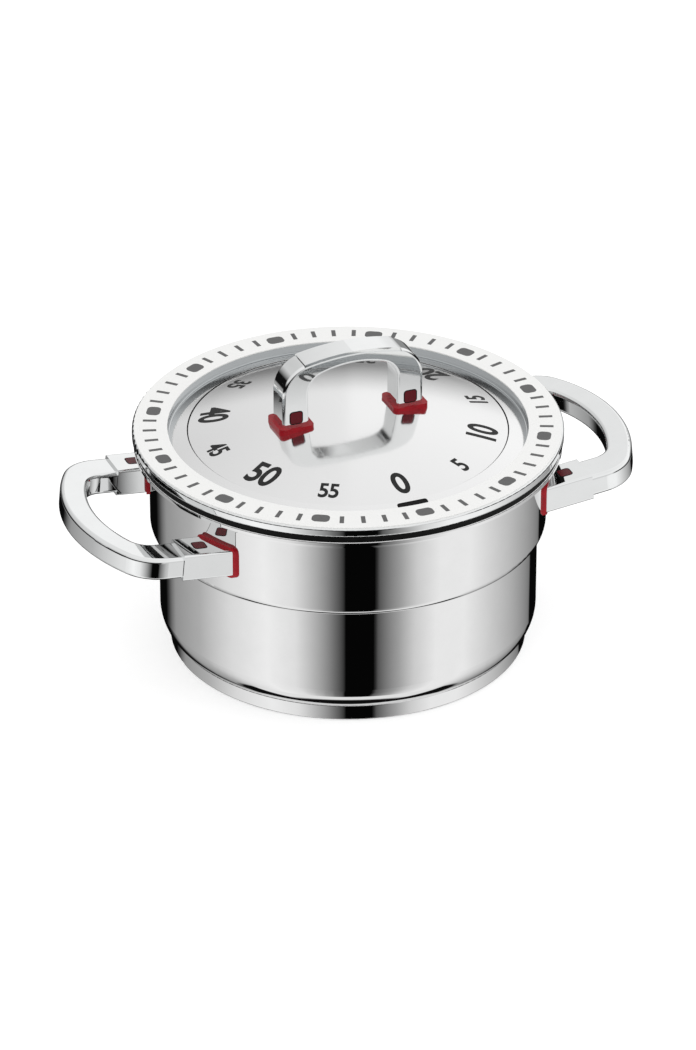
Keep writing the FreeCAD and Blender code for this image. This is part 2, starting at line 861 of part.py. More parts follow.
def make_lid_handle():
    arch = padded("lid_arch", "XZ_Plane", [
        ("arch_outer", "arch_foot"),
        ("arch_outer", "arch_shoulder", "arch_corner", -1),
        ("arch_bend_across", "arch_bend_along", "arch_crown", -1),
        ("-arch_bend_across", "arch_bend_along", "arch_corner", -1),
        ("-arch_outer", "arch_shoulder"),
        ("-arch_outer", "arch_foot"),
        ("-arch_inner", "arch_foot"),
        ("-arch_inner", "arch_shoulder", "arch_inner_corner", 1),
        ("-arch_inner_bend_across", "arch_inner_bend_along", "arch_inner_crown", 1),
        ("arch_inner_bend_across", "arch_inner_bend_along", "arch_inner_corner", 1),
        ("arch_inner", "arch_shoulder"),
        ("arch_inner", "arch_foot"),
    ], "arch_depth", symmetric=True)
    foot = amount("arch_foot") + 0.01

    def face_outline(edge):
        ends = [v.Point for v in edge.Vertexes]
        along = abs(ends[0].y - ends[-1].y) < 0.01
        return along and max(p.z for p in ends) > foot

    rounded(arch, "arch_edges", face_outline, "arch_edge_radius")

    recess = padded("cap_recess", "XZ_Plane", [
        ("recess_half_length", "arch_top + 2"),
        ("-recess_half_length", "arch_top + 2"),
        ("-recess_half_length", "recess_end", "cap_crown", 1),
        ("recess_half_length", "recess_end"),
    ], "arch_depth + 2", symmetric=True)
    cutters = [recess, lid_inlays("lid_inlay_seats")] + leg_ways("leg_way")
    keep(cut("lid_handle", arch, group("lid_handle_cutters", cutters)), "lid_handle")

    bend_top = "arch_bend_along + cap_proud"
    end_top = "cap_end_height + cap_proud"
    cap = padded("lid_handle_cap", "XZ_Plane", [
        ("cap_half_length", end_top, "arch_corner", -1),
        ("arch_bend_across", bend_top, "arch_crown", -1),
        ("-arch_bend_across", bend_top, "arch_corner", -1),
        ("-cap_half_length", end_top),
        ("-cap_half_length", "cap_floor_end", "cap_crown", 1),
        ("cap_half_length", "cap_floor_end"),
    ], "cap_depth", symmetric=True)
    keep(cap, "lid_handle_cap")
    keep(lid_inlays("lid_handle_inlays"), "lid_handle_inlays")

    head_ends = "hub_flat_bottom - screw_head_height", "hub_flat_bottom"
    shanks = leg_rods("lid_shank", "screw_radius", "hub_flat_bottom", "leg_screw_top")
    heads = leg_rods("lid_head", "screw_head_radius", *head_ends)
    screws = [union(f"lid_screw_{i}", pair) for i, pair in enumerate(zip(shanks, heads))]
    keep(group("lid_handle_screws", screws), "lid_handle_screws")


def make_lid_gaskets():
    """Soft seals under the legs, hollowed below to sit on the domed dial."""
    middle = amount("arch_outer/2 + arch_inner/2")
    for label, sign in (("right", 1), ("left", -1)):
        name = f"lid_{label}_gasket"
        block = box(name + "_block", "arch_outer - arch_inner + lid_seal_lip*2",
                    "arch_depth + lid_seal_lip*2", "lid_gasket_depth")
        corner = Vector(
            sign * middle - amount("arch_outer/2 - arch_inner/2 + lid_seal_lip"),
            -amount("arch_depth/2 + lid_seal_lip"),
            amount("arch_foot - lid_gasket_depth"),
        )
        block.Placement = Placement(corner, Rotation())
        soft = edge_filleted(name + "_soft", block, upright, "lid_gasket_corner")
        ball = doc.addObject("Part::Sphere", name + "_ball")
        bind(ball, "Radius", "dome_sphere")
        ball.Placement.Base = Vector(0, 0, amount("dome_crown - dome_sphere"))
        hollow = cut(name + "_hollow", soft, ball)
        ways = group(name + "_ways", leg_ways(name + "_way"))
        keep(cut(name, hollow, ways), name)


# ---------------------------------------------------------------- movement

PRESSURE_ANGLE = math.radians(28)
BACKLASH = 0.07
ADDENDUM = 0.85
DEDENDUM = 1.15

# each stage: teeth of the wheel, teeth of the pinion it drives, module
STAGES = {"great": (72, 12, 0.45), "second": (60, 10, 0.35), "third": (50, 10, 0.30)}
ESCAPE_TEETH = 15
FIRST_STAGE_ANGLE = 20.0


def centre_distance(stage):
    wheel, pinion, module = STAGES[stage]
    return module * (wheel + pinion) / 2


def step_angle(distance):
    """Angle between two arbors on the stage circle that stand a distance apart."""
    return math.degrees(2 * math.asin(distance / 2 / amount("stage_circle")))


SECOND_ANGLE = FIRST_STAGE_ANGLE
THIRD_ANGLE = SECOND_ANGLE + step_angle(centre_distance("second"))
ESCAPE_ANGLE = THIRD_ANGLE + step_angle(centre_distance("third"))
ANCHOR_ANGLE = ESCAPE_ANGLE + step_angle(amount("anchor_distance"))
HAMMER_ANGLE = 200.0
HEAD_ANGLE = 225.0
PILLAR_ANGLES = (75, 165, 255, 345)
POST_ANGLES = (30, 150, 270)
PALLET_SPREAD = 45
ESCAPE_TURN = 12

CENTRE = Vector()
SECOND = polar(amount("stage_circle"), SECOND_ANGLE)
THIRD = polar(amount("stage_circle"), THIRD_ANGLE)
ESCAPE = polar(amount("stage_circle"), ESCAPE_ANGLE)
ANCHOR = polar(amount("stage_circle"), ANCHOR_ANGLE)
HAMMER = polar(amount("hammer_circle"), HAMMER_ANGLE)
HEAD = polar(amount("head_circle"), HEAD_ANGLE)
ARBORS = {
    "second": SECOND, "third": THIRD, "escape": ESCAPE, "anchor": ANCHOR, "hammer": HAMMER,
}
PLATE_TO_PLATE = "lower_plate", "upper_plate + plate_sheet"


def bearing(start, end):
    """Direction from one arbor to another, in degrees."""
    return math.degrees(math.atan2(end.y - start.y, end.x - start.x))


def involute(angle):
    return math.tan(angle) - angle


def tooth_points(teeth, module):
    """Outline of an involute gear with its first tooth on +X."""
    pitch = module * teeth / 2
    base = pitch * math.cos(PRESSURE_ANGLE)
    root, tip = pitch - DEDENDUM * module, pitch + ADDENDUM * module
    half = math.pi / 2 / teeth - BACKLASH / 2 / pitch + involute(PRESSURE_ANGLE)
    start = max(base, root)
    radii = [start + (tip - start) * i / 3 for i in range(4)]
    flank = [(r, half - involute(math.acos(min(1.0, base / r)))) for r in radii]
    if root < base:
        flank.insert(0, (root, flank[0][1]))
    points = []
    for i in range(teeth):
        middle = 2 * math.pi * i / teeth
        for r, angle in flank:
            points.append(Vector(r * math.cos(middle - angle), r * math.sin(middle - angle), 0))
        for r, angle in reversed(flank):
            points.append(Vector(r * math.cos(middle + angle), r * math.sin(middle + angle), 0))
    return points


def ratchet_points(teeth, tip, root):
    """Outline of an escape wheel: pointed teeth that lean one way."""
    points = []
    for i in range(teeth):
        turn = 360 / teeth * i
        points.append(polar(tip, turn))
        points.append(polar(root, turn + 80 / teeth))
        points.append(polar(root, turn + 260 / teeth))
    return points


def slab(name, outer, holes, height):
    """A flat piece of a height from an outline of points and its round holes."""
    edge = Part.makePolygon(outer + [outer[0]])
    face = Part.Face([edge] + holes, "Part::FaceMakerBullseye")
    item = doc.addObject("Part::Feature", name)
    item.Shape = face.extrude(Vector(0, 0, height))
    return item


def place(item, centre, height, turn=0.0):
    item.Placement = Placement(
        Vector(centre.x, centre.y, height), Rotation(Vector(0, 0, 1), turn)
    )
    return item


def make_wheel(stage, centre, driven, bore):
    """A stamped wheel with five round windows, turned to mesh with the next pinion."""
    teeth, _, module = STAGES[stage]
    window, circle = amount(stage + "_window"), amount(stage + "_window_circle")
    holes = [Part.Wire(Part.makeCircle(amount(bore)))]
    holes += [Part.Wire(Part.makeCircle(window, polar(circle, 72 * i))) for i in range(5)]
    label = stage + "_wheel"
    item = slab(label, tooth_points(teeth, module), holes, amount("wheel_sheet"))
    keep(place(item, centre, amount(label + "_bottom"), bearing(centre, driven)), label)


def make_pinion_arbor(label, stage, driver, centre):
    """An arbor cut in one piece with its pinion, a wheel seat and thin end pivots."""
    _, teeth, module = STAGES[stage]
    bottom, top = amount(label + "_pinion_bottom"), amount(label + "_pinion_top")
    leaves = slab(label + "_leaves", tooth_points(teeth, module), [], top - bottom)
    place(leaves, centre, bottom, bearing(centre, driver) + 180 / teeth)
    stem = post(label + "_stem", "pivot_radius", centre, *PLATE_TO_PLATE)
    ends = label + "_seat_bottom", label + "_seat_top"
    seat = post(label + "_seat", "pivot_radius*1.7", centre, *ends)
    keep(union(label + "_arbor", [leaves, stem, seat]), label + "_arbor")


def drilled_plate(label, bottom, main_bore, fixing_circle, fixing_angles):
    """A round plate with the bores of all the arbors and a ring of screw holes."""
    disc = rod(label + "_disc", "plate_radius", "plate_sheet", z=amount(bottom))
    ends = bottom, bottom + " + plate_sheet"
    holes = [post(label + "_main", main_bore, CENTRE, *ends)]
    for name, centre in ARBORS.items():
        holes.append(post(f"{label}_{name}", "pivot_radius + running_gap", centre, *ends))
    for angle in fixing_angles:
        centre = polar(amount(fixing_circle), angle)
        holes.append(post(f"{label}_{angle}", "screw_radius", centre, *ends))
    return cut(label + "_drilled", disc, group(label + "_holes", holes))


def make_plates():
    label = "movement_bottom_plate"
    bore = "arbor_foot_radius + running_gap"
    plate = drilled_plate(label, "lower_plate", bore, "post_circle", POST_ANGLES)
    reach = amount("spring_outer_radius + spring_strip/2 + stud_radius + running_gap")
    ends = "lower_plate", "spring_bottom + spring_width"
    stud = post("spring_stud", "stud_radius", Vector(reach, 0, 0), *ends)
    keep(union(label, [plate, stud]), label)

    label = "movement_top_plate"
    bore = "arbor_radius + running_gap"
    plate = drilled_plate(label, "upper_plate", bore, "pillar_circle", PILLAR_ANGLES)
    keep(plate, label)


def screw_down(name, centre, face, end):
    """A pan-head screw that stands on a face, its shank pointing down to an end."""
    shank = post(name + "_shank", "screw_radius", centre, end, face)
    head = post(name + "_head", "screw_head_radius", centre, face, face + " + screw_head_height")
    return union(name, [shank, head])


def screw_up(name, centre, face, end):
    """A pan-head screw that hangs under a face, its shank pointing up to an end."""
    shank = post(name + "_shank", "screw_radius", centre, face, end)
    head = post(name + "_head", "screw_head_radius", centre, face + " - screw_head_height", face)
    return union(name, [shank, head])


def bored_column(name, radius, centre, ends, bores):
    """A round column between two heights with blind bores for screws."""
    solid = post(name + "_solid", radius, centre, *ends)
    ways = [
        post(f"{name}_bore_{i}", "screw_radius", centre, *bore) for i, bore in enumerate(bores)
    ]
    return cut(name, solid, group(name + "_bores", ways))


def make_frame():
    """Posts, pillars and the screws that hold the movement together and in the pot."""
    floor = "base_top + sheet"
    posts, base_screws, movement_screws = [], [], []
    for angle in POST_ANGLES:
        centre = polar(amount("post_circle"), angle)
        bores = (floor, floor + " + thread_depth"), ("lower_plate - thread_depth", "lower_plate")
        posts.append(
            bored_column(f"post_{angle}", "post_radius", centre, (floor, "lower_plate"), bores)
        )
        face = "pad_height + screw_head_height"
        base_screws.append(
            screw_up(f"base_screw_{angle}", centre, face, floor + " + thread_depth")
        )
        ends = "lower_plate + plate_sheet", "lower_plate - thread_depth"
        movement_screws.append(screw_down(f"post_screw_{angle}", centre, *ends))
    keep(group("movement_posts", posts), "movement_posts")
    keep(group("base_screws", base_screws), "base_screws")

    pillars = []
    ends = "lower_plate + plate_sheet", "upper_plate"
    bore = "upper_plate - thread_depth", "upper_plate"
    for angle in PILLAR_ANGLES:
        centre = polar(amount("pillar_circle"), angle)
        pillars.append(bored_column(f"pillar_{angle}", "pillar_radius", centre, ends, [bore]))
        screw_ends = "upper_plate + plate_sheet", "upper_plate - thread_depth"
        movement_screws.append(screw_down(f"plate_screw_{angle}", centre, *screw_ends))
    keep(group("plate_pillars", pillars), "plate_pillars")
    keep(group("movement_screws", movement_screws), "movement_screws")


def make_bell():
    bell = turned("bell", [
        ("screw_radius", "bell_top - bell_sheet"),
        ("bell_radius - bell_sheet - bell_inner_curve", "bell_top - bell_sheet"),
        ("bell_radius - bell_sheet", "bell_top - bell_sheet - bell_inner_curve"),
        ("bell_radius - bell_sheet", "bell_bottom"),
        ("bell_radius", "bell_bottom"),
        ("bell_radius", "bell_top - bell_curve"),
        ("bell_radius - bell_curve", "bell_top"),
        ("screw_radius", "bell_top"),
    ])
    keep(bell, "bell")
    column = turned("bell_post", [
        ("screw_radius", "bell_top"),
        ("post_radius", "bell_top"),
        ("post_radius", "lower_plate - post_flange_sheet"),
        ("post_radius + post_flange", "lower_plate - post_flange_sheet"),
        ("post_radius + post_flange", "lower_plate"),
        ("screw_radius", "lower_plate"),
    ])
    keep(column, "bell_post")
    ends = "bell_top - bell_sheet", "bell_top - bell_sheet + bell_screw_reach"
    keep(screw_up("bell_screw", CENTRE, *ends), "bell_screw")


SPRING_STEPS = 20


def make_mainspring():
    """A flat spiral strip wound between the arbor's boss and the stud."""
    inner, outer = amount("spring_inner_radius"), amount("spring_outer_radius")
    turns, half = amount("spring_turns"), amount("spring_strip/2")
    steps = int(turns * SPRING_STEPS)

    def spiral(offset):
        points = []
        for i in range(steps + 1):
            radius = inner + (outer - inner) * i / steps + offset
            points.append(polar(radius, 360 * turns * i / steps))
        curve = Part.BSplineCurve()
        curve.interpolate(points)
        return points, curve.toShape()

    near, inner_edge = spiral(-half)
    far, outer_edge = spiral(half)
    ends = [Part.makeLine(near[0], far[0]), Part.makeLine(near[-1], far[-1])]
    wire = Part.Wire(Part.__sortEdges__([inner_edge, ends[0], outer_edge, ends[1]]))
    item = doc.addObject("Part::Feature", "mainspring")
    item.Shape = Part.Face(wire).extrude(Vector(0, 0, amount("spring_width")))
    keep(place(item, CENTRE, amount("spring_bottom")), "mainspring")


def on_arbor(label, radius, bottom, top):
    """A round piece with the main arbor's bore through it."""
    solid = post(label + "_disc", radius, CENTRE, bottom, top)
    return cut(label, solid, post(label + "_bore", "arbor_radius", CENTRE, bottom, top))


def make_main_arbor():
    foot_top = "lower_plate + plate_sheet + arbor_end_gap"
    spring_top = "spring_bottom + spring_width + spring_clearance"
    arbor = turned("main_arbor", [
        ("0", "lower_plate + arbor_end_gap"),
        ("arbor_foot_radius", "lower_plate + arbor_end_gap"),
        ("arbor_foot_radius", foot_top),
        ("boss_spring_radius", foot_top),
        ("boss_spring_radius", spring_top),
        ("boss_spring_radius + arbor_shoulder", spring_top),
        ("boss_spring_radius + arbor_shoulder", "great_wheel_bottom"),
        ("arbor_radius", "great_wheel_bottom"),
        ("arbor_radius", "socket_top"),
        ("0", "socket_top"),
    ])
    keep(arbor, "main_arbor")
    make_wheel("great", CENTRE, SECOND, "arbor_radius")
    ends = "clutch_spring_bottom", "clutch_collar_bottom"
    keep(on_arbor("clutch_spring", "clutch_spring_radius", *ends), "clutch_spring")
    ends = "clutch_collar_bottom", "clutch_collar_top"
    keep(on_arbor("clutch_collar", "clutch_collar_radius", *ends), "clutch_collar")

    # the cam's notch faces the hammer's tail at the zero mark
    ends = "cam_bottom", "cam_bottom + wheel_sheet"
    disc = on_arbor("cam_disc", "cam_radius", *ends)
    notch_at = polar(amount("cam_radius + cam_notch_offset"), HAMMER_ANGLE)
    notch = post("cam_notch", "cam_notch_radius", notch_at, *ends)
    keep(cut("release_cam", disc, notch), "release_cam")


def make_train():
    make_pinion_arbor("second", "great", CENTRE, SECOND)
    make_wheel("second", SECOND, THIRD, "pivot_radius*1.7")
    make_pinion_arbor("third", "second", SECOND, THIRD)
    make_wheel("third", THIRD, ESCAPE, "pivot_radius*1.7")
    make_pinion_arbor("escape", "third", THIRD, ESCAPE)
    root = amount("escape_radius - escape_tooth")
    points = ratchet_points(ESCAPE_TEETH, amount("escape_radius"), root)
    bore = Part.Wire(Part.makeCircle(amount("pivot_radius*1.7")))
    wheel = slab("escape_wheel", points, [bore], amount("wheel_sheet"))
    turn = bearing(ESCAPE, ANCHOR) + ESCAPE_TURN
    keep(place(wheel, ESCAPE, amount("escape_wheel_bottom"), turn), "escape_wheel")


def lever(name, start, end, width, ends, boss):
    """A flat lever from one point to another with a round boss and a pivot bore at its start."""
    bottom, top = ends
    length = (end - start).Length
    strip = doc.addObject("Part::Box", name + "_strip")
    strip.Length = length
    bind(strip, "Width", width)
    bind(strip, "Height", f"{top} - {bottom}")
    turn = Rotation(Vector(0, 0, 1), bearing(start, end))
    side = turn.multVec(Vector(0, -amount(width) / 2, 0))
    strip.Placement = Placement(Vector(start.x, start.y, amount(bottom)) + side, turn)
    hub = post(name + "_hub", boss, start, *ends)
    bore = post(name + "_bore", "pivot_radius", start, *ends)
    return cut(name, union(name + "_solid", [strip, hub]), bore)


def make_escapement():
    """The anchor with two pallet pins, and the balance bar that times its swing."""
    keep(post("anchor_arbor", "pivot_radius", ANCHOR, *PLATE_TO_PLATE), "anchor_arbor")
    towards = bearing(ESCAPE, ANCHOR)
    reach = amount("escape_radius + pallet_gap")
    ends = "anchor_bottom", "anchor_top"
    arms = []
    for name, spread in (("entry", -PALLET_SPREAD), ("exit", PALLET_SPREAD)):
        tip = ESCAPE + polar(reach, towards + spread)
        arms.append(lever(name + "_arm", ANCHOR, tip, "anchor_width", ends, "anchor_boss"))
        arms.append(post(name + "_pallet", "pallet_radius", tip, "pallet_bottom", "pallet_top"))
    keep(union("anchor", arms), "anchor")

    ends = "balance_bottom", "balance_top"
    bars = []
    for name, angle in (("left", towards + 90), ("right", towards - 90)):
        tip = ANCHOR + polar(amount("balance_half_length"), angle)
        bars.append(lever(name + "_bar", ANCHOR, tip, "balance_width", ends, "balance_boss"))
        bars.append(post(name + "_weight", "weight_radius", tip, "balance_bottom", "weight_top"))
    keep(union("balance_bar", bars), "balance_bar")


def make_striker():
    """The hammer under the plate, its tail at the cam and the strip that pushes it."""
    ends = "hammer_arbor_bottom", "upper_plate + plate_sheet"
    keep(post("hammer_arbor", "pivot_radius", HAMMER, *ends), "hammer_arbor")
    ends = "hammer_bottom", "hammer_top"
    arm = lever("hammer_arm", HAMMER, HEAD, "hammer_width", ends, "hammer_boss")
    keep(arm, "hammer_arm")
    tail_end = polar(amount("cam_radius + tail_gap"), HAMMER_ANGLE)
    ends = "tail_bottom", "tail_top"
    tail = lever("hammer_tail", HAMMER, tail_end, "tail_width", ends, "hammer_boss")
    keep(tail, "hammer_tail")
    keep(post("hammer_head", "head_radius", HEAD, "hammer_top", "head_top"), "hammer_head")

    along = (HEAD - HAMMER).normalize()
    outward = Vector(along.y, -along.x, 0)
    start = HAMMER - along * amount("striker_spring_back")
    start += outward * amount("striker_spring_offset")
    strip = box(
        "hammer_spring_strip", "striker_spring_length", "striker_spring_strip",
        "hammer_top - hammer_bottom",
    )
    place(strip, start, amount("hammer_bottom"), bearing(HAMMER, HEAD))
    pin_at = start - along * amount("striker_pin_offset")
    pin = post("hammer_spring_pin", "striker_pin_radius", pin_at, "hammer_bottom", "lower_plate")
    keep(union("hammer_spring", [strip, pin]), "hammer_spring")


make_pot()
make_bezel()
make_side_handles()
make_dial()
make_lid_handle()
make_lid_gaskets()
make_plates()
make_frame()
make_bell()
make_mainspring()
make_main_arbor()
make_train()
make_escapement()
make_striker()
doc.recompute()

broken = [o.Name for o in doc.Objects if "Invalid" in o.State or "Error" in o.State]
if broken:
    raise RuntimeError("failed objects: " + ", ".join(broken))
os.makedirs("parts", exist_ok=True)
for item in sub_parts:
    shape = item.Shape
    if shape.isNull() or not shape.isValid() or not shape.Solids:
        raise RuntimeError(item.Label + " has no valid solid")
    shape.exportStep(f"parts/{item.Label}.step")
    print(f"{item.Label:24s} solids {len(shape.Solids)}  volume {shape.Volume:10.1f}")
print(len(sub_parts), "sub-parts")
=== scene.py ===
"""A pot-shaped clockwork kitchen timer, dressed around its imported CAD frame.

Metres throughout, +Z up, with the lid's zero mark at -Y and the loop handles along X.
"""
import math

import bmesh
import bpy
from mathutils import Matrix, Vector
from mathutils.bvhtree import BVHTree


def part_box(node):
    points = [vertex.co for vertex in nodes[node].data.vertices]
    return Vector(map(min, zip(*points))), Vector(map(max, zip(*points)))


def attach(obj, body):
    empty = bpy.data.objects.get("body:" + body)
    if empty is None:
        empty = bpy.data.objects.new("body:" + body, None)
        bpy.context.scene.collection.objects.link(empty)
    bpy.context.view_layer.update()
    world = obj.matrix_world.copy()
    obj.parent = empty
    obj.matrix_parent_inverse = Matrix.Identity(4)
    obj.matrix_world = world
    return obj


MM = 0.001
UP = Vector((0, 0, 1))

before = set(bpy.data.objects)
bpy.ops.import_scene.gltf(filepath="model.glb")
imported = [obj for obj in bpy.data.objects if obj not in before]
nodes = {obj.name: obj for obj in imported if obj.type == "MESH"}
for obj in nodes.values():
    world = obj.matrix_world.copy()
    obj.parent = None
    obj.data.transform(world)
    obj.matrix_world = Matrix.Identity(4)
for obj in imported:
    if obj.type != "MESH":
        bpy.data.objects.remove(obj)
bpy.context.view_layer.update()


# ---------------------------------------------------------------- the frame and the scene

def top_of(node):
    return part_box(node)[1].z


RING_TOP = top_of("minute_face")
RING_CENTRE = Vector((0, 0, RING_TOP))


def into_scene(thing):
    bpy.context.scene.collection.objects.link(thing)
    return thing


def surface_under(node):
    """A function that gives the height of a node's upper surface at x, y."""
    mesh = nodes[node].data
    corners = [v.co for v in mesh.vertices]
    faces = [tuple(p.vertices) for p in mesh.polygons]
    tree = BVHTree.FromPolygons(corners, faces)
    start = top_of(node) + MM

    def height(x, y):
        hit = tree.ray_cast(Vector((x, y, start)), -UP)[0]
        return hit.z if hit else None

    return height


# ---------------------------------------------------------------- materials

# the span that holds nearly all of a noise texture's values
NOISE_LOW, NOISE_HIGH = 0.3, 0.7


class Paint:
    """One node material: a Principled shader whose inputs are set or fed by procedural nodes."""

    def __init__(self, name, **settings):
        self.material = bpy.data.materials.new(name)
        self.material.use_nodes = True
        self.tree = self.material.node_tree
        self.shader = self.tree.nodes["Principled BSDF"]
        self.object_space = self.node("ShaderNodeTexCoord").outputs["Object"]
        for key, value in settings.items():
            self.shader.inputs[key.replace("_", " ")].default_value = value

    def node(self, kind, **values):
        made = self.tree.nodes.new(kind)
        for key, value in values.items():
            setattr(made, key, value)
        return made

    def link(self, source, target):
        self.tree.links.new(source, target)

    def stretched(self, scale):
        """Object coordinates in millimetres, scaled by x, y, z."""
        mapping = self.node("ShaderNodeMapping")
        mapping.inputs["Scale"].default_value = [s / MM for s in scale]
        self.link(self.object_space, mapping.inputs["Vector"])
        return mapping.outputs["Vector"]

    def noise(self, scale, detail=3.0, roughness=0.5):
        made = self.node("ShaderNodeTexNoise")
        made.inputs["Scale"].default_value = 1.0
        made.inputs["Detail"].default_value = detail
        made.inputs["Roughness"].default_value = roughness
        self.link(self.stretched(scale), made.inputs["Vector"])
        return made.outputs["Fac"]

    def ramp(self, value, *stops):
        """A colour ramp from (position, colour or grey) stops."""
        made = self.node("ShaderNodeValToRGB")
        elements = made.color_ramp.elements
        while len(elements) < len(stops):
            elements.new(0.5)
        for element, (position, colour) in zip(elements, stops):
            element.position = position
            element.color = rgba(colour)
        self.link(value, made.inputs["Fac"])
        return made.outputs["Color"]

    def spread(self, value, low, high):
        """A number from low to high over a noise's useful span."""
        made = self.node("ShaderNodeMapRange")
        ends = {"From Min": NOISE_LOW, "From Max": NOISE_HIGH, "To Min": low, "To Max": high}
        for key, number in ends.items():
            made.inputs[key].default_value = number
        self.link(value, made.inputs["Value"])
        return made.outputs["Result"]

    def mottle(self, value, dark, light):
        """The base colour, from dark to light over a noise's useful span."""
        self.colour(self.ramp(value, (NOISE_LOW, dark), (NOISE_HIGH, light)))

    def colour(self, value):
        self.link(value, self.shader.inputs["Base Color"])

    def roughness(self, value):
        self.link(value, self.shader.inputs["Roughness"])

    def bump(self, value, depth, strength=1.0):
        made = self.node("ShaderNodeBump")
        made.inputs["Strength"].default_value = strength
        made.inputs["Distance"].default_value = depth
        self.link(value, made.inputs["Height"])
        self.link(made.outputs["Normal"], self.shader.inputs["Normal"])


def rgba(colour):
    if isinstance(colour, (int, float)):
        colour = (colour, colour, colour)
    return (*colour, 1.0)


def linear(level):
    """The linear value of a display level from 0 to 1."""
    return level / 12.92 if level <= 0.04045 else ((level + 0.055) / 1.055) ** 2.4


def mirror_colour(level):
    """What the polished steel has to mirror to show a display level."""
    return rgba(linear(level) / STEEL_TINT[0])


def polished_metal(name, tint, low, high):
    """A buffed metal: almost a mirror, with faint polishing haze."""
    paint = Paint(name, Metallic=1.0)
    haze = paint.noise((0.25, 0.25, 0.25), 4.0, 0.6)
    paint.mottle(haze, [c * 0.97 for c in tint], tint)
    paint.roughness(paint.spread(haze, low, high))
    paint.bump(paint.noise((0.12, 0.12, 0.12), 1.0), 0.004 * MM, 0.4)
    return paint.material


SATIN_GRAIN = (9.0, 9.0, 9.0)
SATIN_DEPTH = 0.0015 * MM


def satin_metal(name, tint, low, high):
    """The dial's satin face: a fine sandblasted grain over a soft mirror."""
    paint = Paint(name, Metallic=1.0)
    grain = paint.noise(SATIN_GRAIN, 2.0)
    paint.mottle(grain, [c * 0.96 for c in tint], tint)
    paint.roughness(paint.spread(grain, low, high))
    paint.bump(grain, SATIN_DEPTH, 0.5)
    return paint.material


# radii over which the tint turns from the flange's to the darker wall's: painted shade in the
# recess
SHADED_WALL_RADIUS = (33.3 * MM, 33.7 * MM)


def rim_metal(name, flange_tint, shaded_wall_tint, low, high):
    """The fixed rim: a satin flange inside and an upright wall outside it, tinted darker as
    painted shade in the recess.
    """
    paint = Paint(name, Metallic=1.0)
    flat = paint.node("ShaderNodeVectorMath", operation="MULTIPLY")
    flat.inputs[1].default_value = (1, 1, 0)
    paint.link(paint.object_space, flat.inputs[0])
    distance = paint.node("ShaderNodeVectorMath", operation="LENGTH")
    paint.link(flat.outputs["Vector"], distance.inputs[0])
    outwards = paint.node("ShaderNodeMapRange")
    for key, radius in zip(("From Min", "From Max"), SHADED_WALL_RADIUS):
        outwards.inputs[key].default_value = radius
    paint.link(distance.outputs["Value"], outwards.inputs["Value"])
    # darker outwards, onto the upright wall: painted shade
    paint.colour(paint.ramp(outwards.outputs["Result"], (0.0, flange_tint), (1.0, shaded_wall_tint)))
    grain = paint.noise(SATIN_GRAIN, 2.0)
    paint.roughness(paint.spread(grain, low, high))
    paint.bump(grain, SATIN_DEPTH, 0.5)
    return paint.material


def rubber(name, dark, light, roughness, gloss=0.5):
    """A moulded seal: slight colour mottling and a fine pebbled skin."""
    paint = Paint(name, Specular_IOR_Level=gloss)
    patches = paint.noise((0.8, 0.8, 0.8), 4.0, 0.6)
    paint.mottle(patches, dark, light)
    paint.roughness(paint.spread(patches, roughness - 0.06, roughness + 0.06))
    paint.bump(paint.noise((6.0, 6.0, 6.0), 2.0), 0.006 * MM, 0.4)
    return paint.material


def printed(name, dark, light, roughness, gloss=0.5):
    """Ink or enamel: even colour with a faint speckle."""
    paint = Paint(name, Specular_IOR_Level=gloss)
    speckle = paint.noise((4.0, 4.0, 4.0), 3.0, 0.6)
    paint.mottle(speckle, dark, light)
    paint.roughness(paint.spread(speckle, roughness - 0.04, roughness + 0.05))
    return paint.material


def machined_metal(name, dark, light, low, high):
    """Stamped or turned metal inside the movement: brushed streaks along one way."""
    paint = Paint(name, Metallic=1.0)
    streaks = paint.noise((0.4, 12.0, 3.0), 3.0, 0.6)
    paint.mottle(streaks, dark, light)
    paint.roughness(paint.spread(streaks, low, high))
    paint.bump(streaks, 0.003 * MM, 0.4)
    return paint.material


STEEL_TINT = [0.80, 0.80, 0.80]
CHROME_TINT = [0.86, 0.87, 0.87]
DIAL_TINT = [0.88, 0.88, 0.88]
# the upright wall's darker tint is painted shade in the recess, on the same steel as the flange
SHADED_WALL_TINT = [0.44, 0.46, 0.47]

looks = {
    "polished_steel": polished_metal("polished_steel_look", STEEL_TINT, 0.015, 0.035),
    "chrome": polished_metal("chrome_look", CHROME_TINT, 0.02, 0.05),
    "brushed_dial": satin_metal("satin_dial_look", DIAL_TINT, 0.08, 0.14),
    "white_face": printed("white_face_look", (0.80, 0.80, 0.79), (0.85, 0.85, 0.84), 0.35),
    "black_seal": rubber("black_seal_look", (0.003,) * 3, (0.005,) * 3, 0.45, 0.1),
    "red_seal": rubber("red_seal_look", (0.26, 0.002, 0.008), (0.34, 0.004, 0.012), 0.3, 0.2),
    "red_inlay": printed("red_inlay_look", (0.09, 0.002, 0.006), (0.12, 0.003, 0.009), 0.22, 0.2),
    "plain_steel": machined_metal("plain_steel_look", [0.42] * 3, [0.55] * 3, 0.25, 0.38),
    "hub_plastic": rubber("hub_plastic_look", (0.05, 0.05, 0.05), (0.07, 0.07, 0.07), 0.5),
    "brass": machined_metal("brass_look", (0.62, 0.42, 0.16), (0.76, 0.55, 0.24), 0.22, 0.34),
}
ink = printed("ink_look", (0.010,) * 3, (0.018,) * 3, 0.4, 0.15)
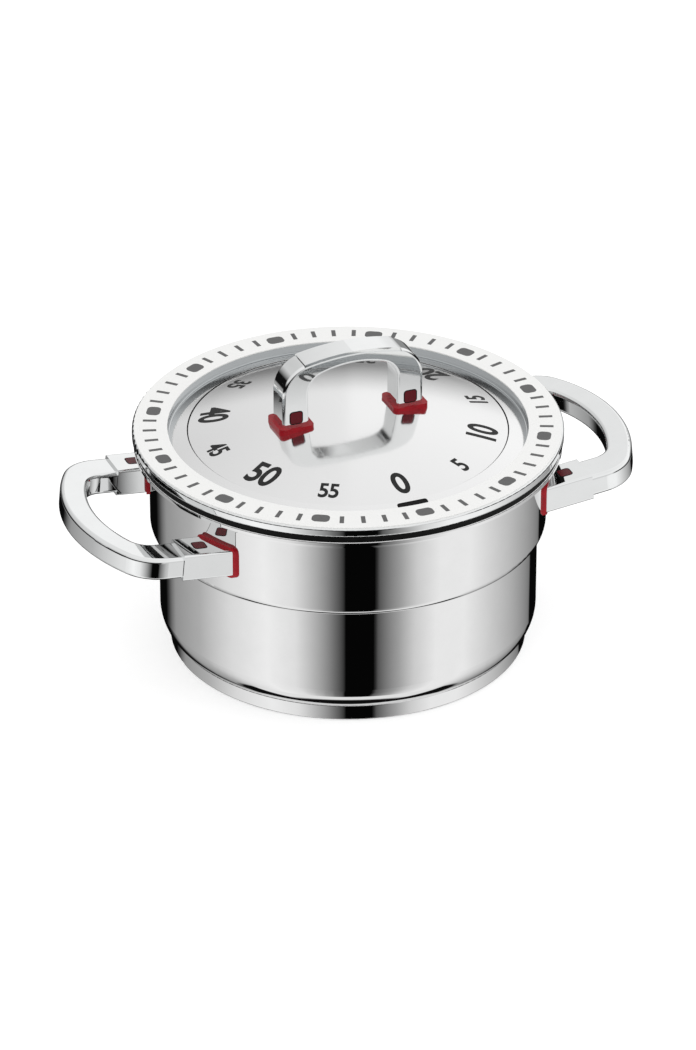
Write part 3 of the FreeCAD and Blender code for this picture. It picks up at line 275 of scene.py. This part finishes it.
# near-black ink for the printed zero mark, also used as painted shade in the seams round the red
# inlays
pointer_ink_and_seam_shade = printed("pointer_ink_and_seam_shade_look", (0.003,) * 3, (0.006,) * 3, 0.35, 0.1)
mark_ink = printed("mark_ink_look", (0.09,) * 3, (0.12,) * 3, 0.45, 0.25)
rim_look = rim_metal("satin_rim_look", DIAL_TINT, SHADED_WALL_TINT, 0.08, 0.13)

for node in nodes.values():
    for index, old in enumerate(node.data.materials):
        node.material_slots[index].material = looks[old.name.split(".")[0]]
nodes["index_flange"].material_slots[0].material = rim_look


# ---------------------------------------------------------------- pieces of their own

def mesh_piece(name, mesh_data, material, body):
    """A finished bmesh as a named piece that rides on a body."""
    mesh = bpy.data.meshes.new(name)
    mesh_data.normal_update()
    mesh_data.to_mesh(mesh)
    mesh_data.free()
    mesh.materials.append(material)
    piece = into_scene(bpy.data.objects.new(name, mesh))
    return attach(piece, body)


def rounded_outline(length, width, corner, steps=5):
    """A rounded rectangle's corners, anticlockwise, centred on zero."""
    points = []
    for quarter, (sx, sy) in enumerate(((1, 1), (-1, 1), (-1, -1), (1, -1))):
        centre = Vector((sx * (length / 2 - corner), sy * (width / 2 - corner)))
        for i in range(steps + 1):
            angle = math.radians(90 * (quarter + i / steps))
            points.append(centre + corner * Vector((math.cos(angle), math.sin(angle))))
    return points


def join_rings(mesh_data, low, high):
    """The faces between two rings of the same number of vertices."""
    for i in range(len(low)):
        j = (i + 1) % len(low)
        mesh_data.faces.new((low[i], low[j], high[j], high[i]))


def add_slab(mesh_data, outline, place, thickness):
    """A thin chamfered slab, its outline carried to 3-D by place(point, lift)."""
    middle = sum(outline, Vector((0, 0))) / len(outline)
    inset = 0.25 * thickness
    inner = [middle + (p - middle) * (1 - inset / max((p - middle).length, thickness))
             for p in outline]
    levels = ((outline, -thickness), (outline, 0.6 * thickness), (inner, thickness))
    rings = [[mesh_data.verts.new(place(p, lift)) for p in points] for points, lift in levels]
    for low, high in zip(rings, rings[1:]):
        join_rings(mesh_data, low, high)
    mesh_data.faces.new(rings[-1])
    mesh_data.faces.new(list(reversed(rings[0])))


PRINT_LIFT = 0.02 * MM
ZERO_MARK = -90


def directions(turn):
    """Outwards and anticlockwise, at an angle in degrees from the zero mark."""
    angle = math.radians(ZERO_MARK + turn)
    outwards = Vector((math.cos(angle), math.sin(angle), 0))
    return outwards, Vector((-math.sin(angle), math.cos(angle), 0))


def around_ring(turn, radius, height):
    """Carries an outline's (radial, tangential) point to the ring at an angle."""
    outwards, across = directions(turn)

    def place(point, lift):
        return outwards * (radius + point.x) + across * point.y + UP * (height + lift)

    return place


MARK_COUNT = 60
MARK_STEP = 360 / MARK_COUNT
TICK = {"length": 2.55 * MM, "width": 0.80 * MM, "corner": 0.06 * MM, "radius": 37.2 * MM}
BLOCK = {"length": 2.6 * MM, "width": 3.3 * MM, "corner": 0.9 * MM, "radius": 36.9 * MM}


def make_marks():
    """Sixty minute marks on the white ring, with a rounded block at every fifth."""
    ticks, blocks = bmesh.new(), bmesh.new()
    for i in range(MARK_COUNT):
        kind, target = (BLOCK, blocks) if i % 5 == 0 else (TICK, ticks)
        outline = rounded_outline(kind["length"], kind["width"], kind["corner"])
        place = around_ring(i * MARK_STEP, kind["radius"], RING_TOP)
        add_slab(target, outline, place, PRINT_LIFT)
    mesh_piece("minute_ticks", ticks, mark_ink, "pot")
    mesh_piece("minute_blocks", blocks, mark_ink, "pot")


POINTER = {"length": 1.3 * MM, "width": 6.0 * MM, "corner": 0.5 * MM, "radius": 31.2 * MM}


def make_pointer():
    """The black zero mark printed on the fixed flange."""
    height = surface_under("index_flange")
    bar = bmesh.new()
    outline = rounded_outline(POINTER["length"], POINTER["width"], POINTER["corner"])
    flat = around_ring(0, POINTER["radius"], 0)

    def place(point, lift):
        spot = flat(point, 0)
        spot.z = height(spot.x, spot.y) + lift
        return spot

    add_slab(bar, outline, place, 2 * PRINT_LIFT)
    mesh_piece("zero_pointer", bar, pointer_ink_and_seam_shade, "pot")


NUMERAL_GRID = 0.8 * MM
GRID_LINES = range(-10, 11)


TENS = {"size": 7.8 * MM, "bold": 0.025, "radius": 25.3 * MM}
FIVES = {"size": 5.2 * MM, "bold": 0.024, "radius": 26.2 * MM}
NARROW = 0.80
SPACING = 0.93
CURVE_STEPS = 6


def text_mesh(text, size, bold):
    """A numeral's flat mesh, in metres, its box centred on zero."""
    curve = bpy.data.curves.new("numeral", "FONT")
    curve.body = text
    curve.size = size
    curve.offset = bold * size
    curve.space_character = SPACING
    curve.resolution_u = CURVE_STEPS
    holder = into_scene(bpy.data.objects.new("numeral", curve))
    bpy.context.view_layer.update()
    evaluated = holder.evaluated_get(bpy.context.evaluated_depsgraph_get())
    mesh = bpy.data.meshes.new_from_object(evaluated)
    bpy.data.objects.remove(holder)
    xs = [v.co.x for v in mesh.vertices]
    ys = [v.co.y for v in mesh.vertices]
    centre = Vector(((min(xs) + max(xs)) / 2, (min(ys) + max(ys)) / 2, 0))
    mesh.transform(Matrix.Scale(NARROW, 4, Vector((1, 0, 0))) @ Matrix.Translation(-centre))
    return mesh


def make_numerals():
    """The printed numerals of the lid, laid on the dome and turning with it."""
    height = surface_under("dial_dome")
    for number in range(0, MARK_COUNT, 5):
        kind = TENS if number % 10 == 0 else FIVES
        data = bmesh.new()
        data.from_mesh(text_mesh(str(number), kind["size"], kind["bold"]))
        for axis in (Vector((1, 0, 0)), Vector((0, 1, 0))):
            for i in GRID_LINES:
                geometry = data.verts[:] + data.edges[:] + data.faces[:]
                cut = axis * i * NUMERAL_GRID
                bmesh.ops.bisect_plane(data, geom=geometry, plane_co=cut, plane_no=axis)
        outwards, across = directions(number * MARK_STEP)
        for vert in data.verts:
            spot = across * vert.co.x + outwards * (kind["radius"] - vert.co.y)
            spot.z = height(spot.x, spot.y) + 1.5 * PRINT_LIFT
            vert.co = spot
        mesh_piece(f"numeral_{number}", data, ink, "dial")


INLAY_SIDE = 2.3 * MM
INLAY_CORNER = 0.45 * MM
# width of the painted shade along each inlay's seam
SEAM_SHADE_WIDTH = 0.2 * MM


def add_frame(mesh_data, centre, right, up, lift):
    """A thin rounded square frame of painted shade round an inlay, on the plane of right and up.
    """
    normal = right.cross(up)
    wide = rounded_outline(*[INLAY_SIDE + 2 * SEAM_SHADE_WIDTH] * 2, INLAY_CORNER + SEAM_SHADE_WIDTH)
    narrow = rounded_outline(INLAY_SIDE, INLAY_SIDE, INLAY_CORNER)
    rings = [
        [mesh_data.verts.new(centre + right * p.x + up * p.y + normal * height) for p in points]
        for points, height in ((wide, -lift), (wide, lift), (narrow, lift), (narrow, -lift))
    ]
    for low, high in zip(rings, rings[1:] + rings[:1]):
        join_rings(mesh_data, low, high)


GRIP_TILT = math.radians(5.6)
FOOT_SPOT = Vector((36.7, 17.6, 35.3)) * MM
LEG_SPOT = Vector((11.5, 2.7, 49.3)) * MM


def make_inlay_edges():
    """Fine black frames along the seams round the red inlays of the loop handles and of the lid
    handle: painted shade where the inlays meet the steel.
    """
    feet, legs = bmesh.new(), bmesh.new()
    for side in (1, -1):
        right = Vector((side * math.cos(GRIP_TILT), 0, math.sin(GRIP_TILT)))
        for way in (1, -1):
            centre = Vector((side * FOOT_SPOT.x, way * FOOT_SPOT.y, FOOT_SPOT.z))
            add_frame(feet, centre, right, Vector((0, side, 0)), PRINT_LIFT)
            centre = Vector((side * LEG_SPOT.x, way * LEG_SPOT.y, LEG_SPOT.z))
            add_frame(legs, centre, Vector((-way, 0, 0)), UP, PRINT_LIFT)
    # black frames of painted shade along the inlay seams
    mesh_piece("foot_inlay_seam_shade", feet, pointer_ink_and_seam_shade, "pot")
    mesh_piece("leg_inlay_seam_shade", legs, pointer_ink_and_seam_shade, "dial")


make_marks()
make_pointer()
make_numerals()
make_inlay_edges()


# ---------------------------------------------------------------- the studio

CAMERA_TURN = math.radians(-22.3)
CAMERA_ELEVATION = math.radians(28.02)
CAMERA_DISTANCE = 0.994
CAMERA_DIP = math.radians(1.097)
LENS = 181.93
SENSOR_WIDTH = 36
CLIP_RANGE = (0.01, 100)

back = Vector((math.sin(CAMERA_TURN) * math.cos(CAMERA_ELEVATION),
               -math.cos(CAMERA_TURN) * math.cos(CAMERA_ELEVATION),
               math.sin(CAMERA_ELEVATION)))


def make_camera():
    """The camera on the photo's side, aimed a little below the ring's centre."""
    camera = into_scene(bpy.data.objects.new("camera", bpy.data.cameras.new("camera")))
    camera.location = RING_CENTRE + back * CAMERA_DISTANCE
    pitch = CAMERA_ELEVATION + CAMERA_DIP
    camera.rotation_euler = (math.pi / 2 - pitch, 0, CAMERA_TURN)
    camera.data.lens = LENS
    camera.data.sensor_width = SENSOR_WIDTH
    camera.data.clip_start, camera.data.clip_end = CLIP_RANGE
    bpy.context.scene.camera = camera


# The surroundings the metal mirrors, each by the angle from the camera's side, as
# (degrees, display level): what walls see below the horizon, the horizon itself, and the sky.
WALL_LIGHTS = (
    (-180, 0.10), (-168, 0.03), (-147, 0.03), (-142, 0.25), (-131, 0.56), (-103, 0.67),
    (-76, 0.85), (-50, 0.93), (-32, 0.87), (-18, 0.66), (-8, 0.42), (-2.5, 0.20), (-2, 0.02),
    (16.5, 0.02), (17.5, 0.30), (31, 0.62), (41, 0.80), (55, 0.91), (75, 0.91), (101, 0.77),
    (141, 0.50), (146, 0.44), (147, 0.03), (168, 0.03), (180, 0.10),
)
HORIZON_LIGHTS = (
    (-180, 0.45), (-150, 0.30), (-135, 0.06), (-60, 0.05), (0, 0.10), (22, 0.10), (30, 0.75),
    (58, 0.80), (68, 0.06), (135, 0.08), (150, 0.55), (180, 0.50),
)
SKY_LIGHTS = (
    (-180, 0.87), (-150, 0.75), (-90, 0.80), (0, 0.86), (90, 0.92), (150, 0.93), (180, 0.91),
)
ZENITH = 0.87
# steeply down, by the height of the direction's unit vector, as (height, display level)
PIT_LIGHTS = ((-1.0, 0.05), (-0.975, 0.05), (-0.955, 0.88), (-0.86, 0.88))
PIT_BACK = 0.05
EVEN_LIGHT = 1.02

# where one set of lights gives way to the next, by the same height
PIT_EDGE = (-0.87, -0.85)
HORIZON_BELOW = (-0.24, -0.18)
HORIZON_ABOVE = (0.10, 0.34)
ZENITH_EDGE = (0.5, 0.95)
SIDE_EDGE = (-0.02, 0.02)


def make_world():
    """Soft boxes and black flags for the metal to mirror, and an even white light for the rest."""
    world = bpy.data.worlds.new("studio")
    bpy.context.scene.world = world
    world.use_nodes = True
    tree = world.node_tree
    tree.nodes.clear()

    def node(kind, **values):
        made = tree.nodes.new(kind)
        for key, value in values.items():
            setattr(made, key, value)
        return made

    def ramp(value, stops):
        made = node("ShaderNodeValToRGB")
        elements = made.color_ramp.elements
        while len(elements) < len(stops):
            elements.new(0.5)
        for element, (position, level) in zip(elements, stops):
            element.position = position
            element.color = mirror_colour(level)
        tree.links.new(value, made.inputs["Fac"])
        return made.outputs["Color"]

    def round_ramp(stops):
        return ramp(around.outputs["Fac"], [(0.5 + a / 360, level) for a, level in stops])

    def rise(value, edge):
        """0 while a value is below the edge's first number, 1 once it is above its second."""
        made = node("ShaderNodeMapRange")
        for key, number in zip(("From Min", "From Max"), edge):
            made.inputs[key].default_value = number
        tree.links.new(value, made.inputs["Value"])
        return made.outputs["Result"]

    def even_colour(level):
        made = node("ShaderNodeRGB").outputs[0]
        made.default_value = mirror_colour(level)
        return made

    def blend(factor, first, second):
        made = node("ShaderNodeMix", data_type="RGBA")
        tree.links.new(factor, made.inputs[0])
        tree.links.new(first, made.inputs[6])
        tree.links.new(second, made.inputs[7])
        return made.outputs[2]

    direction = node("ShaderNodeTexCoord").outputs["Generated"]
    turned = node("ShaderNodeMapping")
    turned.inputs["Rotation"].default_value = (0, 0, -math.atan2(back.y, back.x))
    tree.links.new(direction, turned.inputs["Vector"])
    around = node("ShaderNodeTexGradient", gradient_type="RADIAL")
    tree.links.new(turned.outputs["Vector"], around.inputs["Vector"])
    split = node("ShaderNodeSeparateXYZ")
    tree.links.new(turned.outputs["Vector"], split.inputs["Vector"])
    nearness, height = split.outputs["X"], split.outputs["Z"]

    half_way = node("ShaderNodeMath", operation="MULTIPLY_ADD")
    half_way.inputs[1].default_value = 0.5
    half_way.inputs[2].default_value = 0.5
    tree.links.new(height, half_way.inputs[0])
    near_pit = ramp(half_way.outputs[0], [((1 + z) / 2, level) for z, level in PIT_LIGHTS])
    pit = blend(rise(nearness, SIDE_EDGE), even_colour(PIT_BACK), near_pit)
    below = blend(rise(height, PIT_EDGE), pit, round_ramp(WALL_LIGHTS))
    lower = blend(rise(height, HORIZON_BELOW), below, round_ramp(HORIZON_LIGHTS))
    sky = blend(rise(height, ZENITH_EDGE), round_ramp(SKY_LIGHTS), even_colour(ZENITH))
    mirrored = blend(rise(height, HORIZON_ABOVE), lower, sky)

    seen = node("ShaderNodeBackground")
    tree.links.new(mirrored, seen.inputs["Color"])
    even = node("ShaderNodeBackground")
    even.inputs["Color"].default_value = rgba(1.0)
    even.inputs["Strength"].default_value = EVEN_LIGHT
    choose = node("ShaderNodeMixShader")
    tree.links.new(node("ShaderNodeLightPath").outputs["Is Glossy Ray"], choose.inputs["Fac"])
    tree.links.new(even.outputs["Background"], choose.inputs[1])
    tree.links.new(seen.outputs["Background"], choose.inputs[2])
    out = node("ShaderNodeOutputWorld")
    tree.links.new(choose.outputs["Shader"], out.inputs["Surface"])


FLOOR_HALF = 4.0
FLOOR_GLOW = 0.55


def make_floor():
    """A pale floor with a glow of its own, so the contact shadow stays soft."""
    data = bmesh.new()
    signs = (-1, -1), (1, -1), (1, 1), (-1, 1)
    data.faces.new([data.verts.new((x * FLOOR_HALF, y * FLOOR_HALF, 0)) for x, y in signs])
    mesh = bpy.data.meshes.new("floor")
    data.to_mesh(mesh)
    data.free()
    paint = Paint("floor_look", Roughness=0.9, Specular_IOR_Level=0.0,
                  Emission_Color=rgba(1.0), Emission_Strength=FLOOR_GLOW)
    paint.mottle(paint.noise((0.01, 0.01, 0.01), 2.0), 0.60, 0.62)
    mesh.materials.append(paint.material)
    floor = into_scene(bpy.data.objects.new("floor", mesh))
    floor.visible_glossy = False


SOFTBOX_SIZE = 1.0
SOFTBOX_WATTS = 2.0
SOFTBOX_PLACE = (0.3, -0.5, 1.4)


def make_softbox():
    """One large soft light above and in front."""
    light = bpy.data.lights.new("softbox", "AREA")
    light.shape = "DISK"
    light.size = SOFTBOX_SIZE
    light.energy = SOFTBOX_WATTS
    softbox = into_scene(bpy.data.objects.new("softbox", light))
    softbox.location = SOFTBOX_PLACE
    softbox.rotation_euler = (-softbox.location).to_track_quat("-Z", "Y").to_euler()
    softbox.visible_glossy = False


make_camera()
make_world()
make_floor()
make_softbox()
bpy.context.scene.view_settings.view_transform = "Standard"
